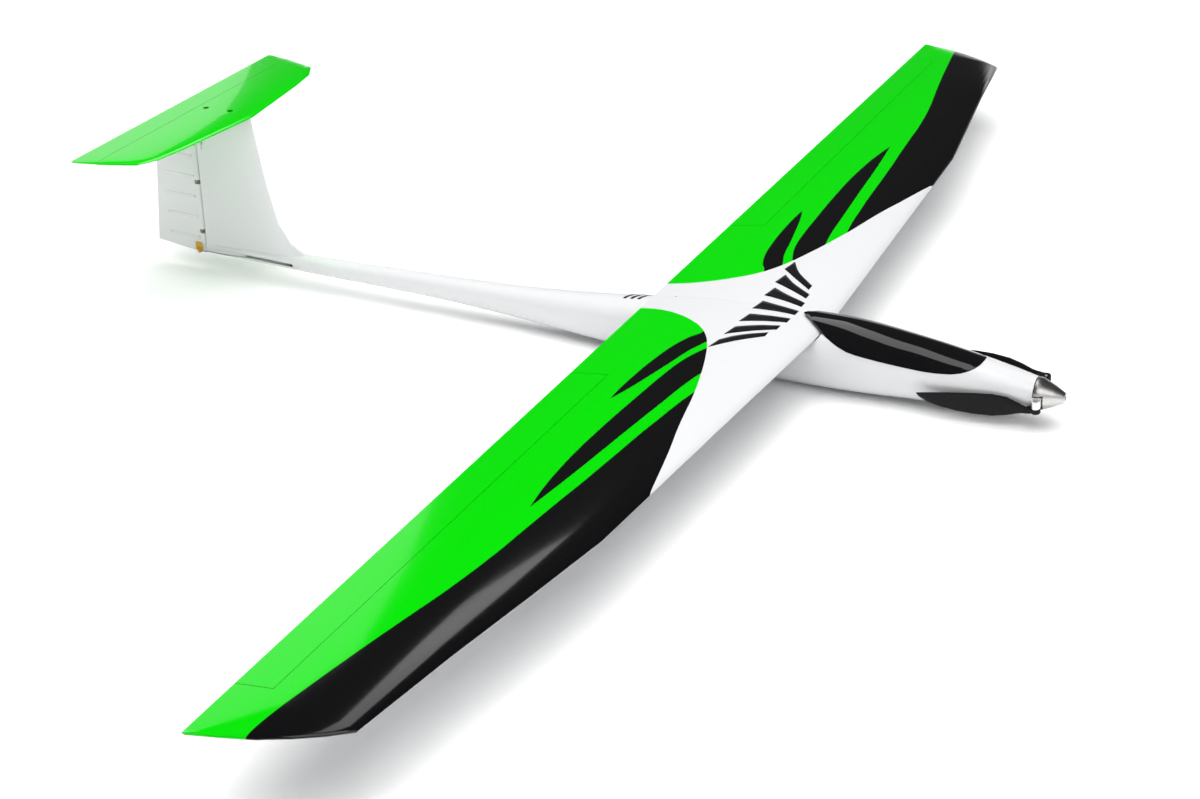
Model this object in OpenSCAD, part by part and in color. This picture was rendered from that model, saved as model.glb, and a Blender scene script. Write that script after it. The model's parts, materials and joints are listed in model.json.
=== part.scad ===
// Electric RC glider: moulded pod and boom, sheeted wing with ailerons, T-tail,
// folding propeller and removable canopy. Nose towards -Y, span along X, +Z up.
// Origin: the flat on the keel that the model rests on, below the balance point.
// Stations are measured aft from the front of the fuselage; heights inside
// on_datum() are measured from the thrust line.

/* [Wing] */
// Span from tip to tip
wing_span = 2000; // [1900:10:2100]
// Chord on the centre line
root_chord = 224.5; // [220:0.5:229]
// How far the trailing edge sweeps forward by the tip
te_sweep = 12; // [8:0.5:16]
// How much each tip is higher than the centre
tip_rise = 13.5; // [8:0.5:18]
// Section thickness over chord
wing_thickness = 0.085; // [0.08:0.001:0.095]
// Section camber over chord
wing_camber = 0.018; // [0.014:0.001:0.022]
// Aileron chord at its inboard end
aileron_chord = 47; // [42:1:50]
// Aileron chord at its outboard end
aileron_tip_chord = 41; // [37:1:44]

/* [Tail] */
// Span of the tailplane
tail_span = 439; // [420:1:460]
// Chord of the elevator
elevator_chord = 35; // [32:1:40]
// Diameter of the rudder's rounded leading edge
rudder_nose_d = 8.4; // [7.6:0.1:9]

/* [Fuselage] */
// Wall thickness of the moulding
wall = 1.2; // [1:0.1:1.5]
// Width of the flat along the keel
keel_flat_w = 14; // [10:1:18]

/* [Propeller] */
// Diameter of the spinner
spinner_d = 39; // [38:0.5:40]
// Length of the spinner cone
spinner_length = 33; // [30:1:36]
// Diameter of the motor shaft
shaft_d = 5; // [4:0.5:5]
// Length of a blade from its pin to its tip
blade_length = 134; // [126:1:138]
// Widest chord of a blade
blade_chord = 28; // [24:1:29]
// Angle of the folded blade pair below level, seen from ahead
prop_park_angle = 14; // [0:1:20]

/* [Hidden] */
$fn = 48;

// Origin of the drawing: station of the balance point.
rest_station = 318;
gap = 0.3;

// --- wing planform, by fraction of the half span ---
half_span = wing_span / 2;
wing_le = 253;
wing_z = 36;
le_sweep = [[0, 0], [0.30, 14.2], [0.56, 26], [0.68, 42.5], [0.80, 60], [0.9365, 76.5],
            [0.953, 97], [0.968, 121], [0.982, 148], [0.992, 177], [1, 207]];
min_tip_thickness = 2.4;
te_thickness = 0.9;
dihedral = atan(tip_rise / half_span);
joiner = [318, wing_z + 4.5];
joiner_r = 4;
joiner_len = 520;

// --- fuselage: station, height of centre, half width, half height ---
body_lines = [
  [1, 0.7, 18.8, 18.8], [28, 1.3, 24.0, 24.0], [57, 2.1, 28.4, 28.4], [113, 4.3, 35.1, 35.1],
  [149, 5.6, 38.4, 38.4], [187, 6.6, 41.7, 41.7], [225, 7.0, 43.8, 43.8], [278, 6.4, 44.2, 44.2],
  [350, 4.6, 42.6, 42.6], [420, 2.0, 39.2, 39.2], [480, -0.2, 35.2, 35.2], [550, -2.4, 29.6, 29.6],
  [605, -3.0, 24.8, 24.8], [661, -3.0, 20.6, 20.6], [747, -2.8, 16.4, 16.4], [835, -3.2, 14.0, 14.0],
  [925, -4.2, 12.2, 12.2], [1010, -4.8, 9.6, 10.8], [1128, -5.0, 6.0, 8.8],
];
body_steps = 44;
// The origin's depth is where the pod's round section is as wide as the keel flat.
keel_depth = sqrt(smooth(rest_station, body_lines, 3) ^ 2 - (keel_flat_w / 2) ^ 2)
           - smooth(rest_station, body_lines, 1);
inner_end = 1000;
tail_end = 1128;

// --- fin and rudder ---
fin_le = [[0, 952], [8, 977], [20, 998], [43, 1013], [77, 1022], [111, 1029.5], [144, 1035], [184, 1041.5]];
fin_half = [[0, 6.4], [43, 5.2], [184, 4.3]];
fin_post = 1128.4;
rudder_axis = 1134;
rudder_bottom = -13.9;
rudder_top = 181;
rudder_lugs = [14, 84, 154];
lug_height = 5;
hinge_wire_d = 1.7;
running = 0.05;

// --- tailplane ---
tail_z = 188;
tail_te = 1158;
tail_le = [[0, 1038], [124, 1052], [170, 1060], [196.5, 1074], [212, 1114], [tail_span / 2, 1148]];
tail_thickness = 0.07;
elevator_axis = [0, tail_te - elevator_chord, tail_z + 2.3];
tail_screw_stations = [1072.5, 1109.5];

// --- canopy outline in side view ---
canopy_outline = [
  [61, 32], [64.5, 28.6], [68.5, 26], [73.5, 23.6], [83, 20.3], [94, 18.4], [110, 17.6], [128, 17.9],
  [152, 19.8], [180, 22.4], [205, 25.3], [216, 27.3], [228, 31], [238, 35.3], [246, 38.6], [251.5, 40],
];
canopy_front = canopy_outline[0][0];
canopy_tail = [[60, 225], [30, 246], [23.5, 255], [17.5, 264], [9, 273.5], [4.4, 279], [1.8, 282]];
canopy_back = 284;
canopy_wall = 1.6;

// --- equipment tray in the pod ---
tray_z = -15;
tray_t = 2.4;

// --- motor ---
motor_r = 14;
motor_back = 44;
shaft_r = shaft_d / 2;

// --- propeller ---
pin_y = -4.6;
pin_reach = 21.5;
pin_r = 1.5;
lug_w = 11;
lug_top = 8;
lug_lap = 2.4;
root_t = 7;
splay = 10.5;

// --- servo linkages: arm and horn have the same throw, so each linkage is a parallelogram ---
aileron_link_x = 0.56;
aileron_throw = [0, -1, -12];
aileron_servo_axis = [0, -60, -5];
elevator_throw = 12;
elevator_servo = [0, 1118.4, 138];
rudder_throw = 13;
rudder_servo = [12.5, 236, 6.5];
rudder_rod_z = -7;
rod_exit = [994, 1062];
rod_r = 0.8;
link_hole = 0.85;

module on_datum() {
  translate([0, -rest_station, keel_depth]) children();
}

module along_y(y0, y1, r) {
  translate([0, y0, 0]) rotate([-90, 0, 0]) cylinder(r = r, h = y1 - y0);
}

// Straight round rod between two points.
module rod(a, b, r) {
  d = b - a;
  len = norm(d);
  translate(a) rotate([0, acos(d[2] / len), atan2(d[1], d[0])]) cylinder(r = r, h = len, $fn = 24);
}

// Flat or nearly flat end of a loft, as a strip of triangles from side to side.
function strip_cap(n, o) = [
  for (i = [0:floor(n / 2) - 1])
    let (a = o + i, b = o + i + 1, c = o + n - 2 - i, d = o + n - 1 - i)
      each (b < c ? [[a, b, c], [a, c, d]] : (b == c ? [[a, b, d]] : [])),
];
function flipped(faces, flip) = flip ? [for (f = faces) [f[2], f[1], f[0]]] : faces;

// Closed skin through rings that all have the same number of points.
module loft(rings) {
  n = len(rings[0]);
  m = len(rings);
  sides = [
    for (j = [0:m - 2], i = [0:n - 1])
      let (k = (i + 1) % n)
        each [[j * n + i, (j + 1) * n + i, (j + 1) * n + k], [j * n + i, (j + 1) * n + k, j * n + k]],
  ];
  polyhedron(
    points = [for (r = rings) each r],
    faces = concat(sides, flipped(strip_cap(n, 0), false), flipped(strip_cap(n, (m - 1) * n), true))
  );
}

// Smooth curve through a table's column, as a Hermite spline.
function row_at(x, t, i = 0) = i >= len(t) - 2 || x < t[i + 1][0] ? i : row_at(x, t, i + 1);
function slope(t, i, c) =
  let (a = max(i - 1, 0), b = min(i + 1, len(t) - 1)) (t[b][c] - t[a][c]) / (t[b][0] - t[a][0]);
function smooth(x, t, c) =
  let (
    i = row_at(x, t),
    h = t[i + 1][0] - t[i][0],
    u = (x - t[i][0]) / h,
    p = t[i][c], q = t[i + 1][c],
    mp = slope(t, i, c) * h, mq = slope(t, i + 1, c) * h
  )
  p * (2 * u ^ 3 - 3 * u ^ 2 + 1) + mp * (u ^ 3 - 2 * u ^ 2 + u)
  + q * (3 * u ^ 2 - 2 * u ^ 3) + mq * (u ^ 3 - u ^ 2);

// ---------------- fuselage ----------------
ring_points = 32;
function body_ring(y, inset) = [
  for (i = [0:ring_points - 1])
    let (
      a = 360 * (i + 0.5) / ring_points,
      z = smooth(y, body_lines, 1) + (smooth(y, body_lines, 3) - inset) * cos(a)
    )
      [(smooth(y, body_lines, 2) - inset) * sin(a), y, inset > 0 ? max(z, inset - keel_depth) : z],
];

module body_skin(y0, y1, inset, steps) {
  loft([for (i = [0:steps]) body_ring(y0 + (y1 - y0) * i / steps, inset)]);
}

function fin_profile(s) = s < 0.35 ? sqrt(1 - ((0.35 - s) / 0.35) ^ 2) : 1 - 0.25 * (s - 0.35) / 0.65;
fin_sections = [0, 8, 20, 43, 77, 111, 144, 184];
fin_chordwise = [0.008, 0.04, 0.1, 0.2, 0.35, 0.6, 0.82, 1];
function fin_ring(z) =
  let (
    le = lookup(z, fin_le),
    w = lookup(z, fin_half),
    side = [for (s = fin_chordwise) [w * fin_profile(s), le + (fin_post - le) * s]]
  )
  [
    for (p = side) [p[0], p[1], z >= 184 ? tail_lower(p[1]) - 0.1 : z],
    for (i = [len(side) - 1:-1:0]) [-side[i][0], side[i][1], z >= 184 ? tail_lower(side[i][1]) - 0.1 : z],
  ];

module saddle_cut() {
  lower = [
    for (i = [0:14]) let (s = 0.5 - 0.5 * cos(180 * i / 14))
      [wing_le + root_chord * s, lower_z(s) - te_thickness * s / 2 - gap]
  ];
  back = wing_le + root_chord + 1;
  for (side = [0, 1]) mirror([side, 0, 0])
    translate([0, 0, wing_z]) rotate([0, -dihedral, 0]) rotate([90, 0, 90])
      linear_extrude(60)
        polygon(concat([[wing_le - 2, 3], [wing_le - 2, 60], [back, 60], [back, -1]],
                       [for (i = [14:-1:0]) lower[i]]));
}

module side_view(points, half_width) {
  rotate([90, 0, 90]) translate([0, 0, -half_width]) linear_extrude(2 * half_width) polygon(points);
}

module canopy_side(margin) {
  side_view(
    concat(
      [[canopy_front - margin, 70]],
      [for (p = canopy_outline) [p[0] + (p[0] < 90 ? -margin : p[0] > 210 ? margin : 0), p[1] - margin]],
      [[wing_le + 1, 70]]
    ), 60);
}

module fuselage_shell() on_datum() color("white") difference() {
  union() {
    body_skin(1, tail_end, 0, body_steps);
    loft([for (z = fin_sections) fin_ring(z)]);
  }
  body_skin(0.5, inner_end, wall, 36);
  canopy_side(gap / 2);
  saddle_cut();
  // way out for the rudder pushrod, on the right side of the boom
  translate([-16, rod_exit[0] - 3, rudder_rod_z - 2.4]) cube([14.6, rod_exit[1] - rod_exit[0] + 6, 4.8]);
  // pocket for the elevator servo, open to the left
  translate([-3.6, elevator_servo[1] - 21.6, elevator_servo[2] - 11.2]) cube([20, 25, 30]);
  for (y = tail_screw_stations) translate([0, y, 150]) cylinder(r = 1.25, h = 50);
  // room below the elevator when it turns down
  translate([-10, elevator_axis[1] - 0.6, elevator_axis[2] - 6.5]) cube([20, 20, 20]);
  // flat along the keel
  translate([-50, 0, -keel_depth - 50]) cube([100, tail_end, 50]);
}

module firewall() on_datum() color("burlywood") difference() {
  along_y(4, 7, 17.6);
  along_y(3, 8, 4.6);
  for (a = [45:90:315]) rotate([0, a, 0]) translate([8, 0, 0]) along_y(3, 8, 1.55);
}

// ---------------- motor and propeller ----------------
module motor_mount() on_datum() color("silver") difference() {
  union() {
    along_y(7, 10, 12.6);
    along_y(9, 38, 4.4);
  }
  along_y(6, 39, shaft_r + running);
  for (a = [45:90:315]) rotate([0, a, 0]) translate([8, 0, 0]) along_y(6, 12, 1.5);
}

module motor_stator() on_datum() color("darkorange") {
  difference() {
    union() {
      along_y(14, 36, 7);
      for (a = [0:40:320]) rotate([0, a, 0]) translate([-1.4, 14.5, 6.2]) cube([2.8, 21, 4.6]);
      for (a = [0:40:320]) rotate([0, a, 0]) translate([-3, 15, 10.3]) cube([6, 20, 1.2]);
    }
    along_y(13, 37, 4.4);
  }
}

module motor_bell() on_datum() color("dimgray") difference() {
  along_y(12, motor_back, motor_r);
  along_y(11, motor_back - 3, 12.4);
  along_y(11, motor_back + 1, shaft_r);
  for (a = [0:60:300]) rotate([0, a, 0]) translate([8.6, 0, 0]) along_y(motor_back - 5, motor_back + 1, 2.2);
}

module motor_shaft() on_datum() color("lightgray") along_y(-18, motor_back + 2, shaft_r);

module motor_screws() on_datum() color("dimgray")
  for (a = [45:90:315]) rotate([0, a, 0]) translate([8, 0, 0]) {
    along_y(2.2, 4, 2.6);
    along_y(3.9, 9.8, 1.45);
  }

module spinner_backplate() on_datum() color("silver") difference() {
  along_y(-2, 0, spinner_d / 2 - 0.2);
  along_y(-3, 1, shaft_r);
  parked() for (s = [-1, 1]) scale([s, 1, s])
    translate([spinner_d / 2 - 9, -4, -lug_top - 1]) cube([12, 6, 20]);
}

module parked() {
  rotate([0, -prop_park_angle, 0]) children();
}

module at_pin() {
  translate([-pin_reach, pin_y, 0]) children();
}

// One arm of the yoke: the lug laps over the blade root, and the pin runs up through both.
module yoke_arm() {
  difference() {
    union() {
      at_pin() translate([0, 0, -lug_lap]) cylinder(r = lug_w / 2, h = lug_top + lug_lap);
      translate([-pin_reach, pin_y - lug_w / 2, -lug_lap])
        cube([pin_reach, lug_w / 2 - 2.3 - pin_y, lug_top + lug_lap]);
    }
    at_pin() translate([0, 0, -10]) cylinder(r = pin_r, h = 30);
  }
}

module prop_yoke() on_datum() color("gainsboro") parked() difference() {
  union() {
    along_y(-15, -2.2, 8);
    for (a = [0, 180]) rotate([0, a, 0]) yoke_arm();
  }
  along_y(-16, 0, shaft_r);
}

module blade_pins() on_datum() color("silver") parked()
  for (a = [0, 180]) rotate([0, a, 0]) at_pin() {
    translate([0, 0, -lug_lap - root_t - 0.5]) cylinder(r = pin_r, h = lug_top + lug_lap + root_t + 1);
    translate([0, 0, lug_top + 0.1]) cylinder(r = 2.4, h = 0.9);
  }

module shaft_nut() on_datum() color("lightgray") difference() {
  along_y(-19, -15.1, 4.6, $fn = 6);
  along_y(-20, -14, shaft_r);
}

module spinner_cone() on_datum() color("silver") {
  r = spinner_d / 2;
  l = spinner_length;
  difference() {
    rotate([90, 0, 0]) rotate_extrude($fn = 96)
      polygon([[r, 2.1], [r, 3], [r * 0.955, 7], [r * 0.62, l * 0.66], [6.2, l - 0.6], [5.6, l],
               [2.8, l], [2.8, l - 3],
               [1.6, l - 3], [1.6, l - 5], [4.4, l - 5], [r * 0.62 - 1.8, l * 0.66], [r * 0.955 - 1.7, 7],
               [r - 1.6, 3], [r - 1.6, 2.1]]);
    parked() for (a = [0, 180]) rotate([0, a, 0])
      translate([-r - 2, pin_y - lug_w / 2 - 1, -lug_lap - root_t - 1.4])
        cube([r - 4, lug_w + 8, lug_top + lug_lap + root_t + 2.4]);
  }
}

module spinner_screw() on_datum() color("dimgray") difference() {
  union() {
    along_y(-spinner_length + 0.2, -spinner_length + 3, 2.7);
    along_y(-spinner_length + 2, -18.2, 1.5);
  }
  along_y(-spinner_length - 1, -spinner_length + 1.6, 1.3, $fn = 6);
}

// Blade drawn folded: it runs aft from the pin, its upper edge is nearly straight and
// the chord is measured down from that edge.
blade_stations = [
  // fraction, chord over widest, thickness, twist
  [0.07, 0.3, 4.4, 0], [0.14, 0.52, 3.8, 6], [0.24, 0.84, 3.0, 11], [0.36, 1.0, 2.4, 12],
  [0.52, 0.97, 2.1, 11], [0.68, 0.84, 1.8, 10], [0.82, 0.64, 1.5, 9], [0.92, 0.42, 1.2, 8.5],
  [0.98, 0.2, 1.0, 8], [1.0, 0.06, 0.8, 8],
];
blade_side = 7;
// Height of the upper edge above the pin's middle plane.
function blade_edge(s) =
  lookup(s, [[0.075, -1.6], [0.14, 4], [0.24, 10.5], [0.36, 13], [0.6, 13], [1, 10.5]]);
function blade_ring(s, k, h, a) = [
  for (i = [0:2 * blade_side])
    let (
      up = i <= blade_side,
      q = up ? i / blade_side : (2 * blade_side + 0.5 - i) / blade_side,
      c = blade_chord * k,
      e = c * (0.5 - 0.5 * cos(180 * q)),
      n = h * (up ? 0.62 : -0.38) * sqrt(max(0.02, 1 - (2 * (0.5 - 0.5 * cos(180 * q)) - 1) ^ 2))
    )
      [
        n * cos(a) + (e - 0.5 * c) * sin(a),
        blade_length * s,
        blade_edge(s) - 0.5 * c - (e - 0.5 * c) * cos(a) + n * sin(a),
      ],
];

module blade() {
  difference() {
    union() {
      translate([0, 0, -lug_lap - root_t - 0.1]) cylinder(r = 5.6, h = root_t);
      rotate([0, 0, splay]) hull() {
        translate([-4.6, 0, -lug_lap - root_t + 0.3]) cube([8.6, 3.4, root_t - 0.8]);
        translate([-4.4, 11, -lug_lap - root_t + 0.3]) cube([4.6, 1, root_t - 0.8]);
      }
      rotate([0, 0, splay]) translate([-2.2, 0, 0]) mirror([1, 0, 0])
        loft([for (b = blade_stations) blade_ring(b[0], b[1], b[2], b[3])]);
    }
    translate([0, 0, -20]) cylinder(r = pin_r + running, h = 30);
  }
}

module blade_right() on_datum() color("black") parked() at_pin() blade();
module blade_left() on_datum() color("black") parked() rotate([0, 180, 0]) at_pin() blade();

// ---------------- canopy ----------------
module canopy() on_datum() color("black") difference() {
  intersection() {
    difference() {
      body_skin(canopy_front - 8, 300, 0, 24);
      body_skin(canopy_front - 10, 301, canopy_wall, 24);
    }
    side_view(
      concat(
        [[canopy_front + gap / 2, 70]],
        [for (p = canopy_outline) [p[0] + (p[0] < 90 ? gap / 2 : p[0] > 210 ? -gap / 2 : 0), p[1] + gap / 2]],
        [for (i = [2:8]) let (s = 0.14 * (i / 8) ^ 2) [wing_le + root_chord * s, wing_z + upper_z(s) + 0.5]],
        [[canopy_back, 70]]
      ), 60);
    translate([0, 0, 10]) linear_extrude(60)
      polygon(concat([[-60, 40], [60, 40]], canopy_tail, [[0, canopy_back - 0.8]],
                     [for (i = [len(canopy_tail) - 1:-1:0]) [-canopy_tail[i][0], canopy_tail[i][1]]]));
  }
}

module canopy_peg() on_datum() color("silver") translate([0, 0, 26.4]) {
  along_y(canopy_front - 7, canopy_front + 22, 1.5);
  translate([-4, canopy_front + 8, -1.5]) cube([8, 13, 4.6]);
}

module canopy_magnet() on_datum() color("silver") translate([0, 236, 0]) union() {
  translate([-28, 0, 33.4]) cube([56, 8, 2]);
  for (x = [-16, 16]) translate([x, 4, 31.4]) cylinder(r = 3, h = 2.1);
}

module sill_magnet() on_datum() color("burlywood") union() {
  translate([-35, 234, 23.6]) cube([70, 12, 3]);
  for (x = [-16, 16]) translate([x, 240, 26.5]) cylinder(r = 3, h = 2.6);
}

// ---------------- wing ----------------
// Half the thickness of a section that is one thick, at a fraction of its chord.
function law(s) = 5 * (0.2969 * sqrt(s) - 0.126 * s - 0.3516 * s ^ 2 + 0.2843 * s ^ 3 - 0.1036 * s ^ 4);
function half_t(s) = wing_thickness * law(s);
function camber(s) = 4 * wing_camber * s * (1 - s);
function upper_z(s) = root_chord * (half_t(s) + camber(s));
function lower_z(s) = root_chord * (camber(s) - half_t(s));
function te_at(f) = wing_le + root_chord - te_sweep * f;
function le_at(f) = wing_le + lookup(f, le_sweep);

chordwise = 17;
function chord_s(i) = 0.5 + 0.5 * cos(180 * i / chordwise);
function wing_ring(f) =
  let (
    le = le_at(f),
    c = te_at(f) - le,
    k = max(1, min_tip_thickness / (wing_thickness * c)),
    z = wing_z + tip_rise * f,
    edge = function (s) te_thickness / 2 * s
  )
  [
    for (i = [0:chordwise])
      let (s = chord_s(i)) [half_span * f, le + c * s, z + c * (half_t(s) * k + camber(s)) + edge(s)],
    for (i = [chordwise - 1:-1:0])
      let (s = chord_s(i)) [half_span * f, le + c * s, z + c * (camber(s) - half_t(s) * k) - edge(s)],
  ];

// Right-hand panel is drawn on the -X side by mirroring.
wing_fractions = [0.0001, 0.15, 0.3, 0.43, 0.56, 0.68, 0.8, 0.9365, 0.953, 0.968, 0.982, 0.992, 1];
module panel_skin() loft([for (f = wing_fractions) wing_ring(f)]);

aileron_in = 0.2325;
aileron_out = 0.918;
function hinge_y(f) =
  let (u = (f - aileron_in) / (aileron_out - aileron_in))
    te_at(f) - aileron_chord - (aileron_tip_chord - aileron_chord) * u;
function hinge_z(f) =
  let (c = te_at(f) - le_at(f), s = (hinge_y(f) - le_at(f)) / c)
    wing_z + tip_rise * f + c * (half_t(s) + camber(s)) - 0.4;
hinge_a = [half_span * aileron_in, hinge_y(aileron_in), hinge_z(aileron_in)];
hinge_b = [half_span * aileron_out, hinge_y(aileron_out), hinge_z(aileron_out)];
hinge_d = (hinge_b - hinge_a) / norm(hinge_b - hinge_a);
hinge_yaw = atan2(hinge_d[1], hinge_d[0]);
hinge_pitch = -asin(hinge_d[2]);

// Local frame of an aileron: x along the hinge outwards, y aft, z up.
module at_hinge(x = 0) {
  translate(hinge_a) rotate([0, hinge_pitch, hinge_yaw]) translate([x, 0, 0]) children();
}

hinge_len = norm(hinge_b - hinge_a);
// Space that an aileron takes, with a V-shaped gap below the hinge in front of it.
module aileron_space(front, ends, back_slant) {
  at_hinge(-ends) rotate([90, 0, 90]) linear_extrude(hinge_len + 2 * ends)
    polygon([[front, 8], [front, 0], [front + back_slant, -14], [80, -14], [80, 8]]);
}

link_x = half_span * (aileron_link_x - aileron_in);

module servo_pocket() {
  at_hinge(link_x) translate(aileron_servo_axis + [-27, -11.5, -20]) cube([33, 33, 25]);
}

module wing_panel() {
  difference() {
    panel_skin();
    aileron_space(-0.3, 0.4, 0);
    servo_pocket();
    translate([-1, joiner[0], joiner[1]]) rotate([0, 90, 0])
      cylinder(r = joiner_r + gap / 3, h = joiner_len / 2 + 2);
    for (y = [290, 448]) translate([0, y, 0]) cylinder(r = 2.1, h = 44);
  }
}

module aileron() {
  intersection() {
    panel_skin();
    aileron_space(0.3, -0.4, 4);
  }
}

module wing_right() on_datum() color("limegreen") mirror([1, 0, 0]) wing_panel();
module wing_left() on_datum() color("limegreen") wing_panel();
module aileron_right() on_datum() color("limegreen") mirror([1, 0, 0]) aileron();
module aileron_left() on_datum() color("limegreen") aileron();

module wing_joiner() on_datum() color("dimgray")
  translate([-joiner_len / 2, joiner[0], joiner[1]]) rotate([0, 90, 0])
    cylinder(r = joiner_r, h = joiner_len);

module wing_seat() on_datum() color("burlywood") difference() {
  // station, half width
  for (s = [[282, 27.5], [440, 24.5]]) translate([-s[1], s[0], 22]) cube([2 * s[1], 16, 4]);
  for (y = [290, 448]) translate([0, y, 10]) cylinder(r = 2.6, h = 30);
}

module wing_bolts() on_datum() color("whitesmoke")
  for (y = [290, 448]) translate([0, y, 0]) {
    translate([0, 0, 18.4]) cylinder(r = 4.6, h = 3.6);
    translate([0, 0, 20]) cylinder(r = 2, h = 20);
  }

// ---------------- servos and linkages ----------------
// Servo with its output shaft along +z at the origin; the case runs back along -x.
module servo(length, width, height) {
  translate([-length + 6, -width / 2, -height]) cube([length, width, height - 3.2]);
  translate([-length + 1.6, -width / 2, -8.4]) cube([length + 8.8, width, 1.6]);
  translate([0, 0, -4]) cylinder(r = width / 2 - 0.6, h = 3.6);
  translate([0, 0, -2]) cylinder(r = 1.8, h = 4.6);
}

// Servo arm: hub on the shaft, drilled for the link at the given reach along +x.
module servo_arm(reach) {
  difference() {
    union() {
      cylinder(r = 3.2, h = 2.8);
      linear_extrude(1.5) polygon([[0, -2.8], [reach, -1.9], [reach, 1.9], [0, 2.8]]);
      translate([reach, 0, 0]) cylinder(r = 1.9, h = 1.5);
    }
    translate([0, 0, -1]) cylinder(r = 1.8 + running, h = 5);
    translate([reach, 0, -1]) cylinder(r = link_hole, h = 5);
  }
}

// Local frame of a wing servo: its shaft points outwards, parallel to the hinge.
module at_wing_servo() {
  at_hinge(link_x) translate(aileron_servo_axis) rotate([90, 0, 90]) children();
}

module on_side(right) {
  mirror([right ? 1 : 0, 0, 0]) children();
}

module aileron_servo(right) {
  on_side(right) at_wing_servo() mirror([1, 0, 0]) servo(22, 9, 22);
}

module servo_cover(right) {
  on_side(right) at_hinge(link_x) difference() {
    translate([-30, aileron_servo_axis[1] - 13.5, -11.8]) cube([39, 37, 1]);
    translate([-0.8, aileron_servo_axis[1] - 8, -14]) cube([6, 15, 6]);
    for (x = [-28.5, 7.5], y = [-12.3, 22.3])
      translate([x, aileron_servo_axis[1] + y, -14]) cylinder(r = 0.8, h = 6);
  }
}

module aileron_arm(right) {
  v = aileron_throw;
  on_side(right) at_wing_servo() rotate([0, 0, atan2(v[2], v[1])]) translate([0, 0, 0.2]) servo_arm(norm(v));
}

module aileron_horn(right) {
  on_side(right) at_hinge(link_x) difference() {
    hull() {
      translate([0.2, aileron_throw[1], aileron_throw[2]]) rotate([0, 90, 0])
        cylinder(r = 1.7, h = 1.5, $fn = 32);
      translate([0.2, 5.6, -6.4]) cube([1.5, 13, 1.6]);
    }
    translate([-1, aileron_throw[1], aileron_throw[2]]) rotate([0, 90, 0]) cylinder(r = link_hole, h = 5);
  }
}

module aileron_pushrod(right) {
  a = aileron_servo_axis + aileron_throw;
  b = aileron_throw;
  out = [3, 0, 0];
  on_side(right) at_hinge(link_x) {
    rod(a + out, b + out, rod_r);
    for (p = [a, b]) {
      rod(p - [1, 0, 0], p + out, rod_r);
      translate(p + out) sphere(r = rod_r, $fn = 24);
    }
  }
}

module aileron_horn_right() on_datum() color("black") aileron_horn(true);
module aileron_horn_left() on_datum() color("black") aileron_horn(false);
module aileron_servo_right() on_datum() color("dimgray") aileron_servo(true);
module aileron_servo_left() on_datum() color("dimgray") aileron_servo(false);
module servo_cover_right() on_datum() color("white") servo_cover(true);
module servo_cover_left() on_datum() color("white") servo_cover(false);
module aileron_arm_right() on_datum() color("ivory") aileron_arm(true);
module aileron_arm_left() on_datum() color("ivory") aileron_arm(false);
module aileron_pushrod_right() on_datum() color("silver") aileron_pushrod(true);
module aileron_pushrod_left() on_datum() color("silver") aileron_pushrod(false);

// ---------------- tailplane and elevator ----------------
function tail_half_t(s) = tail_thickness * law(s);
function tail_lower(y) =
  let (le = tail_le[0][1], c = tail_te - le)
    tail_z - c * tail_half_t(max(0, min(1, (y - le) / c))) - 0.3;
tail_chordwise = 12;
function tail_ring(x) =
  let (
    le = lookup(abs(x), tail_le),
    c = tail_te - le,
    k = max(1, 1.6 / (tail_thickness * c)),
    at = function (i) 0.5 + 0.5 * cos(180 * i / tail_chordwise)
  )
  [
    for (i = [0:tail_chordwise]) [x, le + c * at(i), tail_z + c * tail_half_t(at(i)) * k + 0.4 * at(i)],
    for (i = [tail_chordwise - 1:-1:0])
      [x, le + c * at(i), tail_z - c * tail_half_t(at(i)) * k - 0.4 * at(i)],
  ];
tail_xs = [0.2, 70, 124, 148, 170, 184, 196.5, 204, 212, tail_span / 2 - 3, tail_span / 2];
module tail_skin() {
  loft([for (i = [len(tail_xs) - 1:-1:0]) tail_ring(-tail_xs[i]), for (x = tail_xs) tail_ring(x)]);
}

module elevator_space(front, back_slant) {
  translate([-tail_span, elevator_axis[1], elevator_axis[2]]) rotate([90, 0, 90])
    linear_extrude(2 * tail_span)
      polygon([[front, 8], [front, 0], [front + back_slant, -12], [80, -12], [80, 8]]);
}

module tailplane() on_datum() color("limegreen") difference() {
  tail_skin();
  elevator_space(-0.3, 0);
  for (y = tail_screw_stations) {
    translate([0, y, tail_z - 10]) cylinder(r = 1.7, h = 30);
    translate([0, y, tail_z + 0.6]) cylinder(r = 3.9, h = 10);
  }
}

module tailplane_screws() on_datum() color("black")
  for (y = tail_screw_stations) translate([0, y, 0]) difference() {
    union() {
      translate([0, 0, tail_z + 0.7]) cylinder(r = 3.2, h = 2.2);
      translate([0, 0, tail_z - 16]) cylinder(r = 1.2, h = 17);
    }
    translate([0, 0, tail_z + 1.6]) cylinder(r = 1.25, h = 3, $fn = 6);
  }

module elevator() on_datum() color("limegreen") intersection() {
  tail_skin();
  elevator_space(0.3, 4);
}

elevator_pin = elevator_axis + [elevator_throw, elevator_throw, -8];
module elevator_horn() on_datum() color("black") difference() {
  union() {
    hull() {
      translate(elevator_pin - [3.8, 0, 0]) rotate([0, 90, 0]) cylinder(r = 2.2, h = 1.5, $fn = 32);
      translate([elevator_pin[0] - 3.8, elevator_axis[1] + 7, elevator_axis[2] - 3.6]) cube([1.5, 12, 1.2]);
    }
    translate(elevator_pin - [3.8, 0, 0]) rotate([0, 90, 0]) cylinder(r = 0.75, h = 7);
  }
}

elevator_servo_pin = elevator_servo + [elevator_throw, 5.8, 0];
module elevator_servo() on_datum() color("dimgray")
  translate(elevator_servo) rotate([-90, 0, 0]) rotate([0, 0, 90]) mirror([1, 0, 0])
    rotate([0, 0, 180]) servo(20, 6, 20);

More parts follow.
